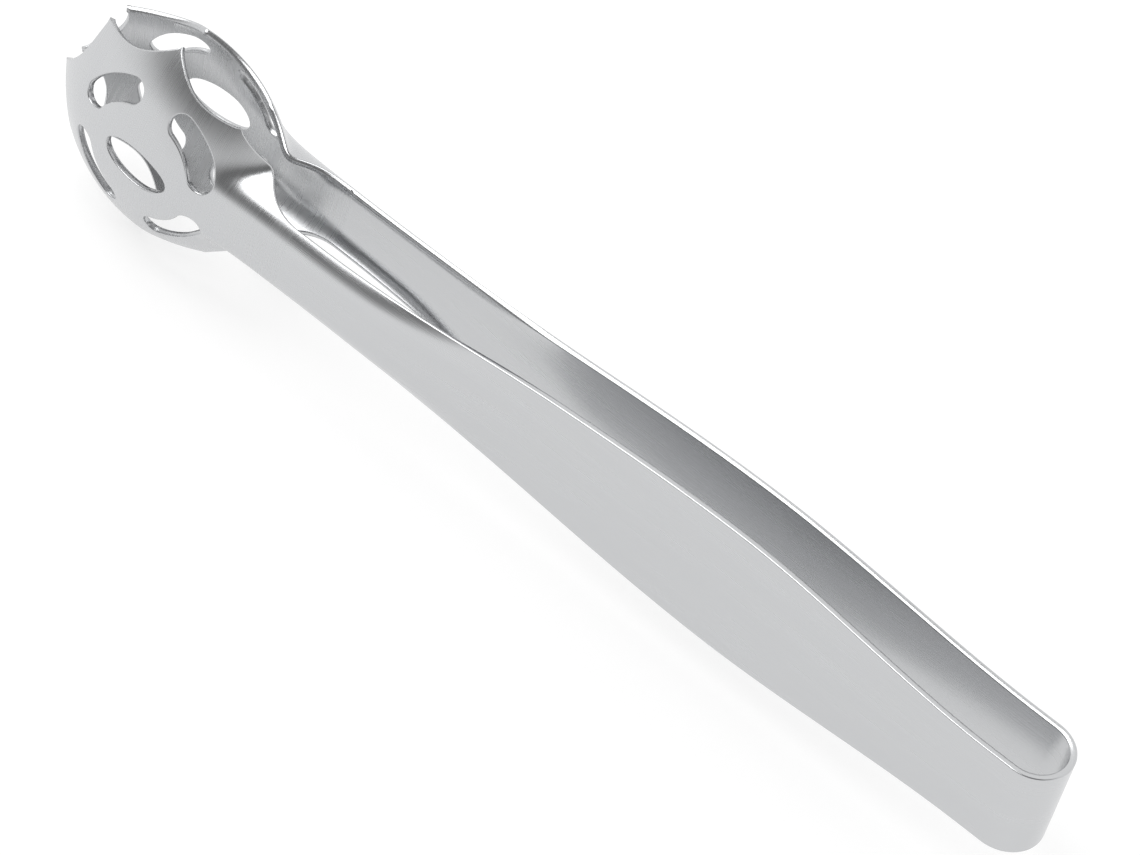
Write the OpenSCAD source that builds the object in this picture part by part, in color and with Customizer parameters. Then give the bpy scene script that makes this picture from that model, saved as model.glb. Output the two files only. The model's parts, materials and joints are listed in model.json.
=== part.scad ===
// Ice tongs, bent from one strip of stainless sheet into a spring bow, two
// arms and two perforated, toothed claws.
//
// Frame: +X points at the bow, the claws are at -X, the front arm is at -Y and
// the rear arm at +Y. +Z runs across the width of the strip. The tongs stand on
// the lower edges of the strip, and the origin is under the middle of their box.

/* [Overall] */
// Length over all, from the claw tips to the end of the bow
overall_l = 170; // [140:1:210]
// Thickness of the sheet
sheet_t = 1; // [0.8:0.1:1.2]

/* [Spring bow] */
// Width across the outside of the bow
bow_w = 11; // [9:0.2:14]
// Width of the strip at the bow
bow_strip_w = 15.4; // [12:0.2:18.6]
// Length of each straight leg of the bow
bow_leg_l = 3.8; // [2:0.2:6]

/* [Arms] */
// Greatest width of the handle
handle_w = 21.6; // [18:0.2:26]
// Distance from the end of the bow to the widest place of the handle
handle_x = 52; // [45:1:60]
// Width of the neck at its narrowest
neck_w = 12; // [10:0.2:14.4]
// Distance of the narrowest place of the neck from the claw tips
neck_x = 46.5; // [44:0.5:52]
// How far each arm leans in from the bow to its middle
waist_in = 0.5; // [0:0.1:1.2]
// How far each arm leans out again towards the neck
neck_out = 0.7; // [0:0.1:2]
// Depth of the curled edges along the neck
curl_d = 2; // [1:0.1:2.6]

/* [Claws] */
// Radius of the circle through the tips of the teeth
claw_r = 17.5; // [14.5:0.1:21]
// Depth of the claw from its teeth to its outermost point
claw_d = 6.6; // [5.4:0.2:9]
// Distance between the two arms' tip teeth
tip_gap = 1.3; // [1:0.1:4]
// Lean of the claw's rim, as a slope along the tongs
rim_lean = 0.065; // [0.04:0.005:0.12]
// How deep the scallops between the teeth are
scallop_d = 2.5; // [1:0.1:3]

/* [Drain slots] */
// Length of the middle slot, along the tongs
eye_l = 11; // [8:0.5:12]
// Width of the middle slot
eye_w = 5.6; // [4:0.2:8]
// Metal left between the outer slots and the bottom of the scallops
rim_land = 2.5; // [1.8:0.1:3]
// How far the slots' pattern sits towards the neck from the teeth's circle
pattern_shift = 1.5; // [0:0.1:2]
// Width of the outer slots
ring_slot_w = 3.6; // [2:0.1:4]
// Angle that each outer slot spans, between the middles of its round ends
ring_slot_a = 42; // [28:1:48]

/* [Hidden] */
steel = "#c9cacb";
steel_inner = "#b4b6b8";

bow_r = bow_w / 2;              // outside radius of the bow
leg_y = bow_r - sheet_t / 2;    // middle of the sheet along the legs
hinge_x = -(bow_r + bow_leg_l); // where each arm flexes against the bow
hinge_gap = 0.03;               // running clearance round each arm's root
widest_x = -handle_x;
neck_start_x = widest_x - 30;   // where the flat handle passes into the neck
neck_narrow_x = -(overall_l - neck_x);
claw_start_x = neck_narrow_x - 3;
claw_x = -(overall_l - claw_r); // centre of the circle through the teeth
teeth_a = 45;                   // angle from one tooth to the next
last_tooth_a = 135;             // the last tooth, measured from the tip
flank_end_a = 157.5;            // where the claw's outline meets the neck
ring_r = claw_r - scallop_d - rim_land - ring_slot_w / 2;
dish_round = 0.6;               // share of the claw's depth that is a plain bowl
fold_r = 2;                     // softness of the fold between claw and neck
tip_rim_y = tip_gap / 2 + 0.75 * sheet_t; // the leaning sheet is 0.75 of its thickness here
handle_steps = 18;              // points along each half of the handle's outline
neck_steps = 12;                // mesh steps along a neck
across_steps = 12;              // mesh steps across a neck
round_steps = 96;               // mesh steps round a claw
out_steps = 7;                  // mesh steps from a claw's eye to its rim
cut_l = 60;                     // length of a cutter that goes through everything

function clamp01(v) = min(1, max(0, v));
function ease(v) = let (t = clamp01(v)) t * t * (3 - 2 * t);
function smooth_max(a, b, r) = (a + b + sqrt((a - b) * (a - b) + r * r)) / 2;
function mix(a, b, t) = a + (b - a) * t;

// Half the width of the strip, from the bow to the neck
function half_w(x) =
    x > widest_x
    ? mix(bow_strip_w, handle_w, ease((hinge_x - x) / (hinge_x - widest_x))) / 2
    : mix(handle_w, neck_w, ease((widest_x - x) / (widest_x - neck_narrow_x))) / 2;

// How far the curled edges stand in from the face of the neck
function curl(x) = curl_d * ease((neck_start_x - x) / (0.8 * (neck_start_x - neck_narrow_x)));

// Distance of the strip's outer face from the middle plane of the tongs
function arm_y(x) =
    bow_r
    - waist_in * ease((hinge_x - x) / (hinge_x - widest_x))
    + neck_out * ease((neck_start_x - x) / (neck_start_x - neck_narrow_x))
    + curl(x);

// The neck's face dives in behind the claw, which leaves only the bowl there
function dive(x) = 2 * claw_d * ease((claw_x + 5 - x) / 16);
function neck_y(x, z) = arm_y(x) - dive(x) - curl(x) * pow(abs(z) / half_w(x), 4);
function rim_y(x) = tip_rim_y + rim_lean * (x + overall_l);
function dish_y(x, z) =
    let (q = ((x - claw_x) * (x - claw_x) + z * z) / (claw_r * claw_r))
    rim_y(x) + claw_d * (1 - dish_round * q - (1 - dish_round) * q * q);
function face_y(x, z) = smooth_max(neck_y(x, z), dish_y(x, z), fold_r);

// A point of the outer face, and the one straight behind it on the inner face
function outer_pt(x, z) = [x, -face_y(x, z), z];
function inner_pt(x, z) =
    let (d = 0.01,
         slope_x = (face_y(x + d, z) - face_y(x - d, z)) / (2 * d),
         slope_z = (face_y(x, z + d) - face_y(x, z - d)) / (2 * d),
         inward = [slope_x, 1, slope_z] / norm([slope_x, 1, slope_z]))
    outer_pt(x, z) + sheet_t * inward;

// Outline of the claw at angle a from the tip, as [x, z]: scallops between the
// teeth, then a flank that sweeps in to the neck, then the straight seam with
// the neck itself
function scallop_r(a) = claw_r - scallop_d * pow(abs(sin(a * 180 / teeth_a)), 0.8);
function around(r, a) = [claw_x - r * cos(a), r * sin(a)];
function flank_pt(t) =
    let (tooth = around(claw_r, last_tooth_a))
    [mix(tooth[0], claw_start_x, t),
     half_w(claw_start_x) + (tooth[1] - half_w(claw_start_x)) * pow(1 - t, 2)];
function seam_pt(t) = [claw_start_x, half_w(claw_start_x) * (1 - t)];
function rim_pt(a) =
    a > 180 ? let (p = rim_pt(360 - a)) [p[0], -p[1]]
    : a <= last_tooth_a ? around(scallop_r(a), a)
    : a <= flank_end_a ? flank_pt((a - last_tooth_a) / (flank_end_a - last_tooth_a))
    : seam_pt((a - flank_end_a) / (180 - flank_end_a));
function eye_pt(a) = [claw_x + pattern_shift - eye_l / 2 * cos(a), eye_w / 2 * sin(a)];

// Faces of a bent sheet given as a grid of points on its outer face, followed
// by the same grid on its inner face. A looped grid closes on itself.
function quad(a, b, c, d) = [[a, b, c], [a, c, d]];
function sheet_faces(rows, cols, looped) =
    let (n = rows * cols, last = looped ? cols : cols - 1)
    [for (r = [0 : rows - 2], c = [0 : last - 1])
        let (p = r * cols + c, q = r * cols + (c + 1) % cols)
        each concat(quad(p, q, q + cols, p + cols),
                    quad(n + p, n + p + cols, n + q + cols, n + q)),
     for (c = [0 : last - 1])
        let (p = c, q = (c + 1) % cols, e = (rows - 1) * cols)
        each concat(quad(p, n + p, n + q, q), quad(e + p, e + q, n + e + q, n + e + p)),
     if (!looped)
        for (r = [0 : rows - 2])
            let (p = r * cols, e = p + cols - 1)
            each concat(quad(p, p + cols, n + p + cols, n + p),
                        quad(e, n + e, n + e + cols, e + cols))];

module bent_sheet(flat_pts, rows, cols, looped = false) {
    polyhedron(
        points = concat([for (p = flat_pts) outer_pt(p[0], p[1])],
                        [for (p = flat_pts) inner_pt(p[0], p[1])]),
        faces = sheet_faces(rows, cols, looped));
}

// Flat shapes drawn in the plane of the tongs' side, cut through along Y
module across_y(l) {
    rotate([90, 0, 0]) linear_extrude(l, center = true) children();
}

module spring_bow() {
    color(steel)
    linear_extrude(bow_strip_w, center = true)
    difference() {
        union() {
            difference() {
                translate([-bow_r, 0]) circle(bow_r, $fn = 96);
                translate([-bow_r, 0]) circle(bow_r - sheet_t, $fn = 96);
                translate([-3 * bow_r, -bow_r]) square([2 * bow_r, 2 * bow_r]);
            }
            for (side = [-1, 1])
                translate([hinge_x, side * leg_y - sheet_t / 2])
                    square([bow_leg_l, sheet_t]);
        }
        for (side = [-1, 1])
            translate([hinge_x, side * leg_y]) circle(sheet_t / 2 + hinge_gap, $fn = 48);
    }
}

module handle() {
    xs = [for (i = [0 : 2 * handle_steps]) mix(hinge_x, neck_start_x, i / (2 * handle_steps))];
    root_x = hinge_x + sheet_t;
    intersection() {
        union() {
            linear_extrude(cut_l, center = true)
                polygon(concat([for (x = xs) [x, -arm_y(x)]],
                               [for (i = [2 * handle_steps : -1 : 0])
                                   [xs[i], sheet_t - arm_y(xs[i])]]));
            translate([hinge_x, -leg_y]) cylinder(cut_l, r = sheet_t / 2, center = true, $fn = 48);
        }
        across_y(cut_l)
            polygon(concat([[root_x, half_w(root_x)]], [for (x = xs) [x, half_w(x)]],
                           [for (i = [2 * handle_steps : -1 : 0]) [xs[i], -half_w(xs[i])]],
                           [[root_x, -half_w(root_x)]]));
    }
}

module neck() {
    bent_sheet([for (i = [0 : neck_steps], k = [0 : across_steps])
                    let (x = mix(neck_start_x, claw_start_x, i / neck_steps))
                    [x, half_w(x) * (1 - 2 * k / across_steps)]],
               neck_steps + 1, across_steps + 1);
}

module ring_slot() {
    half_a = ring_slot_a / 2;
    reach = 2 * ring_r;
    intersection() {
        difference() {
            circle(ring_r + ring_slot_w / 2, $fn = 96);
            circle(ring_r - ring_slot_w / 2, $fn = 96);
        }
        polygon([[0, 0], reach * [cos(half_a), sin(half_a)], reach * [cos(half_a), -sin(half_a)]]);
    }
    for (a = [-half_a, half_a])
        rotate(a) translate([ring_r, 0]) circle(ring_slot_w / 2, $fn = 32);
}

module claw() {
    difference() {
        bent_sheet([for (j = [0 : out_steps], i = [0 : round_steps - 1])
                        let (a = 360 * i / round_steps)
                        mix(eye_pt(a), rim_pt(a), j / out_steps)],
                   out_steps + 1, round_steps, looped = true);
        translate([claw_x + pattern_shift, 0, 0])
            across_y(cut_l)
            for (a = [45 : 90 : 315]) rotate(a) ring_slot();
    }
}

module placed() { translate([overall_l / 2, 0, claw_r]) children(); }
module rear() { mirror([0, 1, 0]) children(); }

module front_handle() { color(steel) handle(); }
module rear_handle() { color(steel_inner) rear() handle(); }
module front_neck() { color(steel) neck(); }
module rear_neck() { color(steel_inner) rear() neck(); }
module front_claw() { color(steel) claw(); }
module rear_claw() { color(steel_inner) rear() claw(); }

placed() spring_bow();
placed() front_handle();
placed() rear_handle();
placed() front_neck();
placed() rear_neck();
placed() front_claw();
placed() rear_claw();
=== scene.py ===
"""Ice tongs, bent from one strip of stainless sheet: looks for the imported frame.

The strip is drawn the way it is made. A flat blank is laid out in two directions, along
and across the strip, pierced with the drain slots, and then pressed: every point moves
onto the formed face of bow, arm or claw, and the sheet gets its thickness behind it.
"""

import json
import math

import bpy
import numpy as np
from mathutils import Matrix, Vector, geometry


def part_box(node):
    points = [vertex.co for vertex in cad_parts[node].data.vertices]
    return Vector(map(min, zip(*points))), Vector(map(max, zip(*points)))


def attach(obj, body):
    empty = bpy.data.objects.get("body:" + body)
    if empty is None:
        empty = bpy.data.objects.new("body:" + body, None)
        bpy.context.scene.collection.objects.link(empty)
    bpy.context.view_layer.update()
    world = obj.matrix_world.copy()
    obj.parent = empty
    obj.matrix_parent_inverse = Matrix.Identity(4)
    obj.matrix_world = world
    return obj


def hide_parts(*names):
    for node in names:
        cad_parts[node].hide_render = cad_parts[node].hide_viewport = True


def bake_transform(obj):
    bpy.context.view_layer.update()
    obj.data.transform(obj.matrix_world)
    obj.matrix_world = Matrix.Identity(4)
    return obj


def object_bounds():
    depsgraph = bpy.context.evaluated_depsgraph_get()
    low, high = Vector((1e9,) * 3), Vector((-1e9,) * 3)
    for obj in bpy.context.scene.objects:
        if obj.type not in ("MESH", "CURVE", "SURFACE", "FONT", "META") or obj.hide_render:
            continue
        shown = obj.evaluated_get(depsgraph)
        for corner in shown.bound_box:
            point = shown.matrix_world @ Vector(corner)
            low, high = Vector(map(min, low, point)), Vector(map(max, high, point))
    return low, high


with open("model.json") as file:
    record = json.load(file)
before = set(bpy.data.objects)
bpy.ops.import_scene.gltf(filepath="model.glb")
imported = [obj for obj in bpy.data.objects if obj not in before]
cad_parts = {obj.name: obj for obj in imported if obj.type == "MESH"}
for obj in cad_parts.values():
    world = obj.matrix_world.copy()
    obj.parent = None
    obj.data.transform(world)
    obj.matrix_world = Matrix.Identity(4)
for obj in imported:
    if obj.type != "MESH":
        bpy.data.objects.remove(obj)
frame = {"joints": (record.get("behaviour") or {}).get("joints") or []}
cad_lo, cad_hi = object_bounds()
MM = 0.001


def span(node, axis):
    lo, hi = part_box(node)
    return hi[axis] - lo[axis]


# ------------------------------------------------- sizes, in metres
LENGTH = cad_hi.x - cad_lo.x
CLAW_R = span("front_claw", 2) / 2
BOW_R = span("spring_bow", 1) / 2
BOW_STRIP_W = span("spring_bow", 2)
HANDLE_W = span("front_handle", 2)
HINGE = Vector(next(j for j in frame["joints"] if j["name"] == "front_flex")["pos_m"])
PLACE = Vector((LENGTH / 2, 0, CLAW_R))        # from the bow's end to the row frame

SHEET = 1.0 * MM
HINGE_X = HINGE.x - PLACE.x
WIDEST_X = -52 * MM
WAIST_IN = 0.5 * MM
NECK_W = 12 * MM
NECK_START_X = WIDEST_X - 30 * MM
NECK_NARROW_X = 46.5 * MM - LENGTH
NECK_OUT = 0.7 * MM
CURL_D = 2.0 * MM
CLAW_START_X = NECK_NARROW_X - 3 * MM
CLAW_X = CLAW_R - LENGTH
CLAW_D = 6.6 * MM
TIP_RIM_Y = 1.4 * MM
RIM_LEAN = 0.065
DISH_ROUND = 0.6
FOLD_R = 2 * MM
TOOTH_STEP = math.radians(45)
LAST_TOOTH = math.radians(135)
SCALLOP_D = 2.5 * MM
EYE_L = 11 * MM
EYE_W = 5.6 * MM
SLOT_W = 3.6 * MM
SLOT_SPAN = math.radians(42)
SLOT_RING_R = CLAW_R - SCALLOP_D - 2.5 * MM - SLOT_W / 2
PATTERN_SHIFT = 1.5 * MM

EDGE_R = 0.2 * MM           # rounding of the sheet's edge beside its outer face
CLAW_GRID = 0.55 * MM       # how far apart the claw's mesh points are
ACROSS = 28                 # mesh steps across the strip
BEND_STEPS = 72             # mesh steps round the bow
ROOT_STEPS = 6              # along the straight root of an arm
ARM_STEPS = 150             # from the claw to the arm's root
SCALLOP_STEPS = 34          # from one tooth to the next
FLANK_STEPS = 24            # from the last tooth to the neck
SCALLOP_POWER = 0.8         # under 1 draws the teeth out to points
PROBE = 0.02 * MM           # how far apart a slope is measured
ROUNDING = [math.radians(a) for a in (0, 30, 60, 90)]


# ------------------------------------------------- the formed shape
def ease(v):
    t = min(1.0, max(0.0, v))
    return t * t * (3 - 2 * t)


def mix(a, b, t):
    return a + (b - a) * t


def half_width(x):
    if x > WIDEST_X:
        return mix(BOW_STRIP_W, HANDLE_W, ease((HINGE_X - x) / (HINGE_X - WIDEST_X))) / 2
    return mix(HANDLE_W, NECK_W, ease((WIDEST_X - x) / (WIDEST_X - NECK_NARROW_X))) / 2


def curl(x):
    """How far the neck's edges are curled in."""
    return CURL_D * ease((NECK_START_X - x) / (0.8 * (NECK_START_X - NECK_NARROW_X)))


def arm_y(x):
    waist = WAIST_IN * ease((HINGE_X - x) / (HINGE_X - WIDEST_X))
    spread = NECK_OUT * ease((NECK_START_X - x) / (NECK_START_X - NECK_NARROW_X))
    return BOW_R - waist + spread + curl(x)


def neck_y(x, z):
    dive = 2 * CLAW_D * ease((CLAW_X + 5 * MM - x) / (16 * MM))
    return arm_y(x) - dive - curl(x) * (abs(z) / half_width(x)) ** 4


def dish_y(x, z):
    q = ((x - CLAW_X) ** 2 + z * z) / CLAW_R**2
    rim = TIP_RIM_Y + RIM_LEAN * (x + LENGTH)
    return rim + CLAW_D * (1 - DISH_ROUND * q - (1 - DISH_ROUND) * q * q)


def face_y(x, z):
    neck, dish = neck_y(x, z), dish_y(x, z)
    return (neck + dish + math.hypot(neck - dish, FOLD_R)) / 2


def formed(u, z):
    """A point of the blank on the formed outer face, and the way into the sheet.

    u is x along the arm, and past the arm's root it goes on round the bow."""
    if u <= HINGE_X:
        slope_x = (face_y(u + PROBE, z) - face_y(u - PROBE, z)) / (2 * PROBE)
        slope_z = (face_y(u, z + PROBE) - face_y(u, z - PROBE)) / (2 * PROBE)
        return Vector((u, -face_y(u, z), z)), Vector((slope_x, 1, slope_z)).normalized()
    if u <= -BOW_R:
        return Vector((u, -BOW_R, z)), Vector((0, 1, 0))
    turn = (u + BOW_R) / BOW_R
    out = Vector((math.sin(turn), -math.cos(turn), 0))
    return Vector((-BOW_R, 0, z)) + BOW_R * out, -out


class Sheet:
    """Points of a pressed sheet with their exact normals, and the faces between them."""

    def __init__(self):
        self.points, self.normals, self.flat = [], [], []
        self.faces, self.walls = [], {}

    def add(self, u, z, depth=0.0, lean=0.0, aside=None):
        """A point at a depth below the outer face. Its normal leans from the face's own
        towards aside, a direction across the blank."""
        point, inward = formed(u, z)
        normal = -inward * math.cos(lean)
        if aside is not None:
            away = formed(u + PROBE * aside[0], z + PROBE * aside[1])[0] - point
            away -= inward * away.dot(inward)
            normal += away.normalized() * math.sin(lean)
        self.points.append(point + inward * depth)
        self.normals.append(normal.normalized())
        self.flat.append((u, z))
        return len(self.points) - 1

    def edge(self, u, z, aside, inset=EDGE_R):
        """The sheet's edge at one place, from the outer face to the inner one.

        It is rounded by EDGE_R beside the outer face, and the same beside the inner face.
        The widest point comes twice at one place, which leaves zero-size faces. Without
        the second one the rear claw's rim renders dark instead of bright."""
        row = []
        for a in ROUNDING + [math.pi - a for a in reversed(ROUNDING)]:
            back = inset * (1 - math.sin(a))
            if a <= math.pi / 2:
                depth = EDGE_R * (1 - math.cos(a))
            else:
                depth = SHEET - EDGE_R * (1 + math.cos(a))
            row.append(self.add(u - aside[0] * back, z - aside[1] * back, depth, a, aside))
        return row

    def skin(self, row_a, row_b):
        """Quads from one row of points to the next."""
        for k in range(len(row_a) - 1):
            self.faces.append((row_a[k], row_b[k], row_b[k + 1], row_a[k + 1]))

    def wall(self, ring, normal):
        """A flat end wall over a closed cross-section."""
        self.walls[len(self.faces)] = normal
        self.faces.append(tuple(ring))

    def finish(self, name, mirrored=False):
        """The finished object, in the row frame, with the blank's own layout as its UV."""
        flip = Matrix.Diagonal((1, -1 if mirrored else 1, 1))
        faces = [tuple(reversed(f)) if mirrored else f for f in self.faces]
        mesh = bpy.data.meshes.new(name)
        mesh.from_pydata([flip @ p + PLACE for p in self.points], [], faces)
        uv = mesh.uv_layers.new(name="strip")
        normals = [None] * len(mesh.loops)
        for polygon in mesh.polygons:
            polygon.use_smooth = polygon.index not in self.walls
            for i in polygon.loop_indices:
                v = mesh.loops[i].vertex_index
                uv.data[i].uv = self.flat[v]
                normals[i] = flip @ self.walls.get(polygon.index, self.normals[v])
        mesh.normals_split_custom_set(normals)
        thing = bpy.data.objects.new(name, mesh)
        bpy.context.scene.collection.objects.link(thing)
        return thing


def section(sheet, u):
    """One closed cross-section of the strip, with round edges."""
    edge_z = half_width(min(u, HINGE_X))
    flat_z = edge_z - EDGE_R
    steps = [flat_z * (2 * k / ACROSS - 1) for k in range(1, ACROSS)]
    outer = [sheet.add(u, z) for z in steps]
    upper = sheet.edge(u, edge_z, (0, 1))
    inner = [sheet.add(u, z, SHEET, math.pi) for z in reversed(steps)]
    lower = sheet.edge(u, -edge_z, (0, -1))
    return outer + upper + inner + list(reversed(lower))


def strip(name, stations):
    """The strip between its first and last station, closed at both ends."""
    sheet = Sheet()
    rings = [section(sheet, u) for u in stations]
    for ring, following in zip(rings, rings[1:]):
        sheet.skin(ring + ring[:1], following + following[:1])
    for ring, u, sign in ((rings[0], stations[0], -1), (rings[-1], stations[-1], 1)):
        along = (formed(u + 0.01 * MM, 0)[0] - formed(u - 0.01 * MM, 0)[0]).normalized()
        sheet.wall(ring if sign > 0 else list(reversed(ring)), along * sign)
    return sheet


# ------------------------------------------------- node trees
def hex_colour(code):
    """An sRGB hex colour as the linear values that a shader takes."""
    srgb = [int(code[i:i + 2], 16) / 255 for i in (1, 3, 5)]
    linear = [c / 12.92 if c <= 0.04045 else ((c + 0.055) / 1.055) ** 2.4 for c in srgb]
    return (*linear, 1.0)


def node(tree, kind, inputs=None, **settings):
    """Adds a node with its settings. An input is a value, or another node's output."""
    made = tree.nodes.new(kind)
    for key, value in settings.items():
        setattr(made, key, value)
    for key, value in (inputs or {}).items():
        if isinstance(value, bpy.types.NodeSocket):
            tree.links.new(value, made.inputs[key])
        else:
            made.inputs[key].default_value = value
    return made


# ------------------------------------------------- the drain slots' punch
def punch_tree():
    """Flat faces in the shape of the drain slots, centred on the claw: an eye, and round
    it a ring of slots that are obrounds bent to the ring's radius."""
    tree = bpy.data.node_groups.new("drain slot punch", "GeometryNodeTree")
    for name, kind in (("Ring radius", "Float"), ("Slot width", "Float"),
                       ("Slot span", "Float"), ("Slots", "Int"), ("Eye length", "Float"),
                       ("Eye width", "Float"), ("Spacing", "Float")):
        tree.interface.new_socket(name, in_out="INPUT", socket_type="NodeSocket" + kind)
    tree.interface.new_socket("Mesh", in_out="OUTPUT", socket_type="NodeSocketGeometry")
    given = node(tree, "NodeGroupInput").outputs

    def calc(operation, a, b=0.0):
        return node(tree, "ShaderNodeMath", {0: a, 1: b}, operation=operation).outputs[0]

    def place(geometry_in, x, y):
        moved = node(tree, "ShaderNodeCombineXYZ", {"X": x, "Y": y}).outputs[0]
        return node(tree, "GeometryNodeSetPosition",
                    {"Geometry": geometry_in, "Position": moved}).outputs[0]

    def filled(curve):
        evenly = node(tree, "GeometryNodeResampleCurve",
                      {"Curve": curve, "Length": given["Spacing"]}, mode="LENGTH")
        return node(tree, "GeometryNodeFillCurve", {"Curve": evenly.outputs[0]},
                    mode="NGONS").outputs[0]

    round_one = node(tree, "GeometryNodeCurvePrimitiveCircle",
                     {"Resolution": 48, "Radius": 1.0}).outputs[0]
    here = node(tree, "ShaderNodeSeparateXYZ",
                {0: node(tree, "GeometryNodeInputPosition").outputs[0]}).outputs
    # the obround: a circle of the slot's width, pulled apart along the slot
    half_slot = calc("MULTIPLY", given["Slot width"], 0.5)
    half_run = calc("MULTIPLY", calc("MULTIPLY", given["Slot span"], 0.5), given["Ring radius"])
    pulled = calc("MULTIPLY", calc("SIGN", here["X"]), half_run)
    along = calc("ADD", calc("MULTIPLY", here["X"], half_slot), pulled)
    slot = filled(place(round_one, along, calc("MULTIPLY", here["Y"], half_slot)))
    # bent round the claw's middle
    turn = calc("DIVIDE", here["X"], given["Ring radius"])
    reach = calc("ADD", here["Y"], given["Ring radius"])
    bent = place(slot, calc("MULTIPLY", calc("SINE", turn), reach),
                 calc("MULTIPLY", calc("COSINE", turn), reach))
    hub = node(tree, "GeometryNodeMeshCircle",
               {"Vertices": given["Slots"], "Radius": 0.0}).outputs[0]
    step = calc("DIVIDE", math.tau, given["Slots"])
    number = node(tree, "GeometryNodeInputIndex").outputs[0]
    angle = calc("MULTIPLY", calc("ADD", number, 0.5), step)
    facing = node(tree, "ShaderNodeCombineXYZ", {"Z": angle}).outputs[0]
    slots = node(tree, "GeometryNodeInstanceOnPoints",
                 {"Points": hub, "Instance": bent, "Rotation": facing})
    eye = filled(place(round_one,
                       calc("MULTIPLY", here["X"], calc("MULTIPLY", given["Eye length"], 0.5)),
                       calc("MULTIPLY", here["Y"], calc("MULTIPLY", given["Eye width"], 0.5))))
    both = node(tree, "GeometryNodeJoinGeometry")
    tree.links.new(slots.outputs[0], both.inputs[0])
    tree.links.new(eye, both.inputs[0])
    real = node(tree, "GeometryNodeRealizeInstances", {0: both.outputs[0]})
    steel = node(tree, "GeometryNodeSetMaterial", {"Geometry": real.outputs[0]})
    node(tree, "NodeGroupOutput", {0: steel.outputs[0]})
    return tree


def punched_slots():
    """The slots' outlines on the blank, each a closed run of points."""
    blank = bpy.data.objects.new("punch", bpy.data.meshes.new("punch"))
    bpy.context.scene.collection.objects.link(blank)
    modifier = blank.modifiers.new("punch", "NODES")
    modifier.node_group = punch_tree()
    sizes = {"Ring radius": SLOT_RING_R, "Slot width": SLOT_W, "Slot span": SLOT_SPAN,
             "Slots": 4, "Eye length": EYE_L, "Eye width": EYE_W, "Spacing": CLAW_GRID * 0.8}
    for item in modifier.node_group.interface.items_tree:
        if item.in_out == "INPUT":
            modifier[item.identifier] = sizes[item.name]
    cut = bpy.data.meshes.new_from_object(
        blank.evaluated_get(bpy.context.evaluated_depsgraph_get()))
    blank.modifiers.remove(modifier)
    bpy.data.objects.remove(blank)
    middle = np.array((CLAW_X + PATTERN_SHIFT, 0))
    loops = []
    for polygon in cut.polygons:
        run = np.array([cut.vertices[v].co[:2] for v in polygon.vertices]) + middle
        loops.append(run if polygon.normal.z > 0 else run[::-1])
    return loops


# ------------------------------------------------- the claw's blank
def around(radius, angle):
    return (CLAW_X - radius * math.cos(angle), radius * math.sin(angle))


def claw_edge():
    """The claw's edge on the blank, from the neck's lower corner round the teeth to its
    upper corner, with the way out of the sheet and the room for rounding at each point."""
    corners = [k * TOOTH_STEP for k in range(-3, 4)]
    run = []
    for a, b in zip(corners, corners[1:]):
        for k in range(SCALLOP_STEPS):
            angle = mix(a, b, k / SCALLOP_STEPS)
            hollow = abs(math.sin(angle * math.pi / TOOTH_STEP)) ** SCALLOP_POWER
            run.append(around(CLAW_R - SCALLOP_D * hollow, angle))
    tooth_x, tooth_z = around(CLAW_R, LAST_TOOTH)
    root_z = half_width(CLAW_START_X)
    flank = []
    for k in range(FLANK_STEPS + 1):
        t = k / FLANK_STEPS
        bulge = (tooth_z - root_z) * (1 - t) ** 2
        flank.append((mix(tooth_x, CLAW_START_X, t), root_z + bulge))
    run = [(x, -z) for x, z in reversed(flank[1:])] + run + flank
    run = np.array(run)
    along = np.gradient(run, axis=0)
    along /= np.linalg.norm(along, axis=1)[:, None]
    out = np.stack((-along[:, 1], along[:, 0]), axis=1)
    out[0], out[-1] = (0, -1), (0, 1)
    teeth = np.array([around(CLAW_R, a) for a in corners])
    to_tooth = np.linalg.norm(run[:, None] - teeth, axis=2).min(axis=1)
    room = np.clip(0.4 * to_tooth, 0.4 * EDGE_R, EDGE_R)
    return run, out, room


def ring_outwards(run):
    """The way out of the sheet, which is into the slot, round a closed run of points."""
    along = np.roll(run, -1, axis=0) - np.roll(run, 1, axis=0)
    along /= np.linalg.norm(along, axis=1)[:, None]
    return np.stack((-along[:, 1], along[:, 0]), axis=1)


def within(points, loop):
    """Which points lie inside a closed run of points."""
    found = np.zeros(len(points), bool)
    for (x0, z0), (x1, z1) in zip(loop, np.roll(loop, -1, axis=0)):
        if z0 != z1:
            spans = (points[:, 1] < z0) != (points[:, 1] < z1)
            found ^= spans & (points[:, 0] < x0 + (x1 - x0) * (points[:, 1] - z0) / (z1 - z0))
    return found


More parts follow.
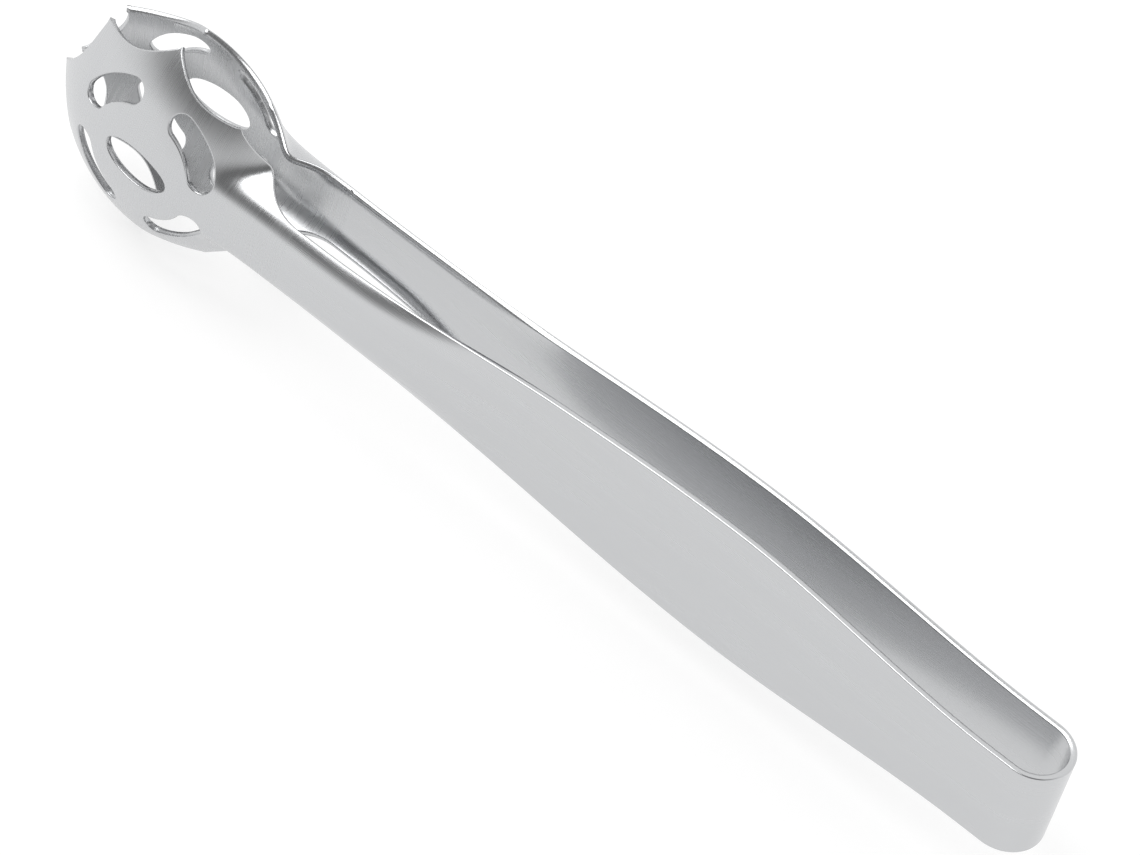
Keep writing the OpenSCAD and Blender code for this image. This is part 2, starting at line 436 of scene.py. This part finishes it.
def claw(slots):
    """One claw: the blank's flat middle meshed between its edges, pressed and rounded."""
    sheet = Sheet()
    run, out, room = claw_edge()
    chains = [[sheet.edge(u, z, aside, inset)
               for (u, z), aside, inset in zip(run, out, room)]]
    for loop in slots:
        outwards = ring_outwards(loop)
        chains.append([sheet.edge(u, z, aside) for (u, z), aside in zip(loop, outwards)])
    flat_z = half_width(CLAW_START_X) - EDGE_R
    seam = [flat_z * (1 - 2 * k / ACROSS) for k in range(1, ACROSS)]
    seam_outer = [sheet.add(CLAW_START_X, z) for z in seam]
    seam_inner = [sheet.add(CLAW_START_X, z, SHEET, math.pi) for z in seam]

    bounds = [[row[0] for row in chains[0]] + seam_outer]
    bounds += [[row[0] for row in chain] for chain in chains[1:]]
    inner_of = dict(zip(seam_outer, seam_inner))
    inner_of.update({row[0]: row[-1] for chain in chains for row in chain})
    rims = [np.array([sheet.flat[i] for i in ring]) for ring in bounds]

    rows = np.arange(-CLAW_R, CLAW_R, CLAW_GRID * math.sqrt(3) / 2)
    grid = np.array([(x + (j % 2) * CLAW_GRID / 2, z) for j, z in enumerate(rows)
                     for x in np.arange(-LENGTH, CLAW_START_X, CLAW_GRID)])
    keep = within(grid, rims[0])
    for rim in rims[1:]:
        keep &= ~within(grid, rim)
    grid = grid[keep]
    every_rim = np.concatenate(rims)
    nearest = np.array([np.linalg.norm(every_rim - p, axis=1).min() for p in grid])
    grid = grid[nearest > 0.6 * CLAW_GRID]

    index = [i for ring in bounds for i in ring]
    edges, start = [], 0
    for ring in bounds:
        edges += [(start + k, start + (k + 1) % len(ring)) for k in range(len(ring))]
        start += len(ring)
    for u, z in grid:
        made = sheet.add(u, z)
        inner_of[made] = sheet.add(u, z, SHEET, math.pi)
        index.append(made)
    in_mm = [Vector(sheet.flat[i]) / MM for i in index]
    spots, _, faces, came_from, _, _ = geometry.delaunay_2d_cdt(in_mm, edges, [], 0, 1e-6)
    spots = np.array(spots) * MM
    middles = np.array([spots[list(f)].mean(axis=0) for f in faces])
    keep = within(middles, rims[0])
    for rim in rims[1:]:
        keep &= ~within(middles, rim)
    for face, kept in zip(faces, keep):
        if kept:
            a, b, c = (index[came_from[v][0]] for v in face)
            sheet.faces.append((a, b, c))
            sheet.faces.append((inner_of[c], inner_of[b], inner_of[a]))
    for chain in chains:
        closed = chain if chain is chains[0] else chain + chain[:1]
        for row, following in zip(closed, closed[1:]):
            sheet.skin(row, following)
    ring = (seam_outer + list(chains[0][0]) + list(reversed(seam_inner))
            + list(reversed(chains[0][-1])))
    sheet.wall(ring, Vector((1, 0, 0)))
    return sheet


# ------------------------------------------------- materials
def stainless(name, colour, roughness, lines_along, lines_depth):
    """Satin stainless steel sheet, brushed. Fine lines one way make highlights soft and
    a little streaked, and rolling leaves faint broad bands. The lines are 0.22 mm apart,
    coarser than real brushing, which would be too fine to show."""
    made = bpy.data.materials.new(name)
    made.use_nodes = True
    tree = made.node_tree
    shader = tree.nodes["Principled BSDF"]
    shader.inputs["Metallic"].default_value = 1.0
    layout = node(tree, "ShaderNodeUVMap", uv_map="strip").outputs[0]
    line, length = 1 / (0.22 * MM), 1 / (14 * MM)
    scale = (length, line, 1) if lines_along else (line, length, 1)
    stretched = node(tree, "ShaderNodeMapping", {"Vector": layout, "Scale": scale}).outputs[0]
    lines = node(tree, "ShaderNodeTexNoise", {"Vector": stretched, "Scale": 1.0, "Detail": 3.0,
                                              "Roughness": 0.6}).outputs[0]
    broad_scale = (1 / (40 * MM), 1 / (3 * MM), 1) if lines_along else (1 / (3 * MM), 1 / (14 * MM), 1)
    broad = node(tree, "ShaderNodeMapping", {"Vector": layout, "Scale": broad_scale}).outputs[0]
    bands = node(tree, "ShaderNodeTexNoise", {"Vector": broad, "Scale": 1.0, "Detail": 2.0}).outputs[0]
    both = node(tree, "ShaderNodeMix", {"Factor": 0.4, "A": lines, "B": bands}, data_type="FLOAT")
    low, high = roughness
    rough = node(tree, "ShaderNodeMapRange", {"Value": both.outputs[0], "From Min": 0.3, "From Max": 0.7,
                                              "To Min": low, "To Max": high}).outputs[0]
    tree.links.new(rough, shader.inputs["Roughness"])
    dark, bright = (hex_colour(c) for c in colour)
    tone = node(tree, "ShaderNodeMix", {"Factor": both.outputs[0]}, data_type="RGBA")
    tone.inputs[6].default_value, tone.inputs[7].default_value = dark, bright
    tree.links.new(tone.outputs[2], shader.inputs["Base Color"])
    bump = node(tree, "ShaderNodeBump", {"Strength": lines_depth, "Distance": 0.02 * MM,
                                         "Height": lines}).outputs[0]
    tree.links.new(bump, shader.inputs["Normal"])
    return made


satin_steel = stainless("satin stainless strip", ("#C3C4C6", "#D0D1D2"), (0.2, 0.3), True, 0.12)
claw_steel = stainless("cross-brushed stainless claw", ("#C3C4C6", "#D0D1D2"), (0.22, 0.34),
                       False, 0.16)

# ------------------------------------------------- the pieces
bow_end = -BOW_R + math.pi * BOW_R
bow_stations = [mix(-BOW_R, bow_end, k / BEND_STEPS) for k in range(BEND_STEPS + 1)]
root_stations = [mix(HINGE_X, -BOW_R, k / ROOT_STEPS) for k in range(1, ROOT_STEPS + 1)]
arm_stations = [mix(CLAW_START_X, HINGE_X, k / ARM_STEPS) for k in range(ARM_STEPS + 1)]

bow = strip("spring_bow_strip", bow_stations).finish("spring_bow_strip")
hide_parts("spring_bow")
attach(bow, "bow")
bow.data.materials.append(satin_steel)

arm_sheet = strip("arm", arm_stations + root_stations)
claw_sheet = claw(punched_slots())
for side, mirrored in (("front", False), ("rear", True)):
    arm = arm_sheet.finish(side + "_arm_strip", mirrored)
    arm.data.materials.append(satin_steel)
    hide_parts(side + "_handle", side + "_neck")
    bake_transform(arm)
    cup = claw_sheet.finish(side + "_claw_cup", mirrored)
    cup.data.materials.append(claw_steel)
    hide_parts(side + "_claw")
    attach(cup, side + "_arm")


# ------------------------------------------------- floor, light and camera
def studio_floor():
    mesh = bpy.data.meshes.new("floor")
    wide = 4.0
    mesh.from_pydata([(-wide, -wide, 0), (wide, -wide, 0), (wide, wide, 0), (-wide, wide, 0)],
                     [], [(0, 1, 2, 3)])
    floor = bpy.data.objects.new("floor", mesh)
    bpy.context.scene.collection.objects.link(floor)
    made = bpy.data.materials.new("white paper sweep")
    made.use_nodes = True
    tree = made.node_tree
    shader = tree.nodes["Principled BSDF"]
    shader.inputs["Base Color"].default_value = hex_colour("#9A9A9A")
    shader.inputs["Roughness"].default_value = 0.9
    shader.inputs["Specular IOR Level"].default_value = 0.0
    path = node(tree, "ShaderNodeLightPath").outputs
    seen = node(tree, "ShaderNodeMath", {0: path["Is Camera Ray"], 1: path["Is Glossy Ray"]},
                operation="MAXIMUM").outputs[0]
    level = node(tree, "ShaderNodeMath", {0: seen, 1: 0.72}, operation="MULTIPLY").outputs[0]
    white = node(tree, "ShaderNodeEmission", {"Strength": level}).outputs[0]
    both = node(tree, "ShaderNodeAddShader", {0: shader.outputs[0], 1: white}).outputs[0]
    tree.links.new(both, tree.nodes["Material Output"].inputs["Surface"])
    floor.data.materials.append(made)


def studio_sky():
    world = bpy.data.worlds.new("studio")
    bpy.context.scene.world = world
    world.use_nodes = True
    tree = world.node_tree
    backdrop = tree.nodes["Background"]
    way = node(tree, "ShaderNodeTexCoord").outputs["Generated"]
    # a grey ceiling flag over the front, which the curled edges pick up
    overhead = Vector((0.1, -0.55, 0.83)).normalized()
    near_flag = node(tree, "ShaderNodeVectorMath", {0: way, 1: overhead},
                     operation="DOT_PRODUCT").outputs["Value"]
    fade = node(tree, "ShaderNodeMapRange", {"Value": near_flag, "From Min": 0.35, "From Max": 0.85,
                                             "To Min": 1.0, "To Max": 0.18},
                interpolation_type="SMOOTHSTEP").outputs[0]
    camera_ray = node(tree, "ShaderNodeLightPath").outputs["Is Camera Ray"]
    level = node(tree, "ShaderNodeMix", {"Factor": camera_ray, "A": fade, "B": 1.0},
                 data_type="FLOAT").outputs[0]
    tree.links.new(level, backdrop.inputs["Strength"])
    backdrop.inputs["Color"].default_value = (1, 1, 1, 1)


def softbox(name, place, towards, width, height, watts):
    lamp = bpy.data.lights.new(name, "AREA")
    lamp.shape = "RECTANGLE"
    lamp.size = width
    lamp.size_y = height
    lamp.energy = watts
    thing = bpy.data.objects.new(name, lamp)
    bpy.context.scene.collection.objects.link(thing)
    thing.location = place
    thing.rotation_mode = "QUATERNION"
    thing.rotation_quaternion = (Vector(towards) - Vector(place)).to_track_quat("-Z", "Y")


def camera():
    """A long lens, 47 degrees up and a little to the right, rolled so that the bow
    comes low on the right and the claws high on the left."""
    azimuth, elevation, roll = (math.radians(a) for a in (24.55, 47.15, 19.16))
    back = Vector((math.sin(azimuth) * math.cos(elevation),
                   -math.cos(azimuth) * math.cos(elevation), math.sin(elevation)))
    level = Vector((math.cos(azimuth), math.sin(azimuth), 0))
    right = level * math.cos(roll) + back.cross(level) * math.sin(roll)
    upward = back.cross(right)
    aim = (cad_lo + cad_hi) / 2 + Vector((2.3, 1.0, 0)) * MM
    lens = bpy.data.cameras.new("camera")
    lens.sensor_width = 36
    lens.lens = 241.2
    lens.clip_start = 0.05
    lens.clip_end = 20
    thing = bpy.data.objects.new("camera", lens)
    bpy.context.scene.collection.objects.link(thing)
    turned = Matrix((right, upward, back)).transposed().to_4x4()
    thing.matrix_world = Matrix.Translation(aim + back * 1.006) @ turned
    bpy.context.scene.camera = thing


studio_floor()
studio_sky()
softbox("overhead softbox", (-0.5, -0.3, 1.3), (0, 0, 0), 1.3, 0.9, 13)
camera()

view = bpy.context.scene.view_settings
view.view_transform = "Standard"
